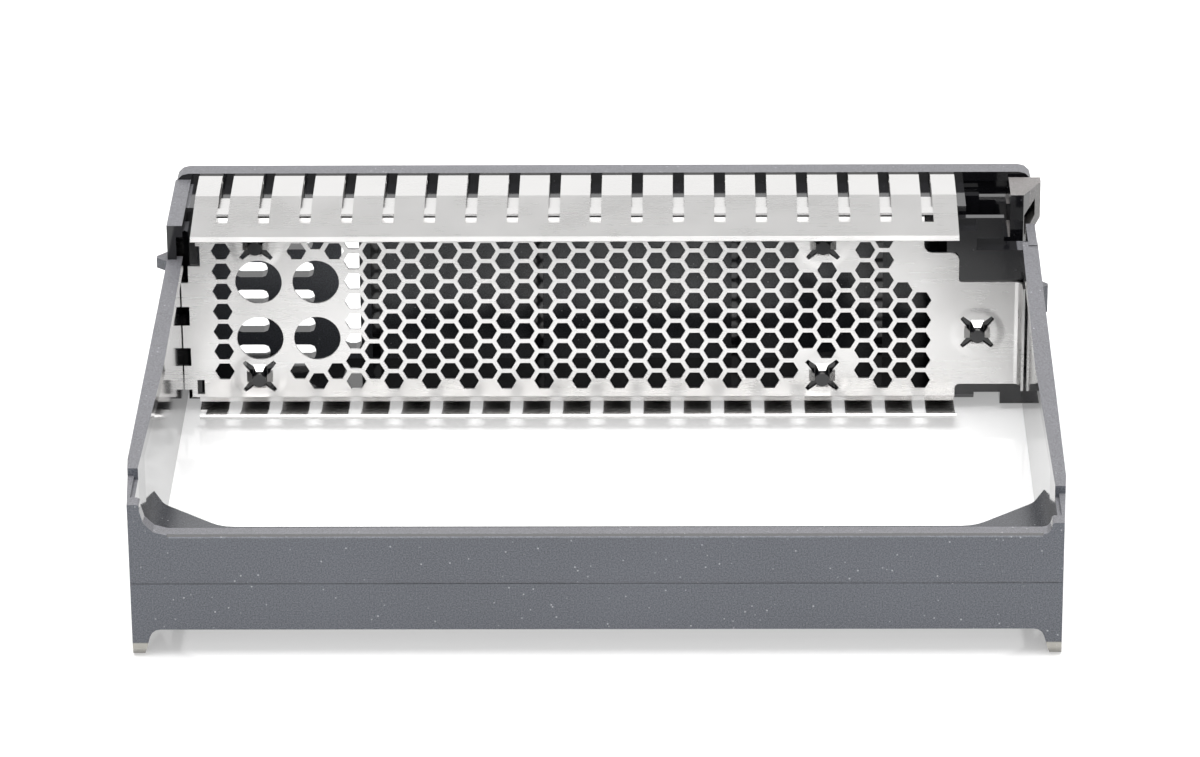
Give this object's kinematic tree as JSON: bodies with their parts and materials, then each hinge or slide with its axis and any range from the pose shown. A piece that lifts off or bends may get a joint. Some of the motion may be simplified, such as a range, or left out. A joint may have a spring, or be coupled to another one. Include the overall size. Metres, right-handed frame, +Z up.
{
  "type": "drive blank filler",
  "caption": "Open moulded frame that fills an empty drive bay, with a perforated spring-finger metal shield behind its face and a sprung side release latch.",
  "frame": {"origin": "middle of the footprint, on the surface that the frame stands on", "axes": "+X across the bay towards the latch, +Y from the rear crossbar to the front face, +Z up"},
  "size_m": [0.1084, 0.081, 0.0272],
  "materials": {
    "frame_plastic": "black moulding, fine texture on the outer faces",
    "shield_steel": "bright cold-rolled stainless sheet",
    "latch_plastic": "black moulding, fine texture on the outer faces"
  },
  "bodies": {
    "base": {"frame": "frame_plastic", "emi_shield": "shield_steel"},
    "latch": {"release_latch": "latch_plastic"}
  },
  "joints": [
    {"name": "latch_pivot", "type": "hinge", "parent": "base", "child": "latch", "pos_m": [0.0499, 0.0335, 0.0106], "axis": [0, -1, 0], "range_deg": [0, 7.5], "stiffness_Nm_per_rad": 0.06, "springref_deg": -2.86}
  ]
}
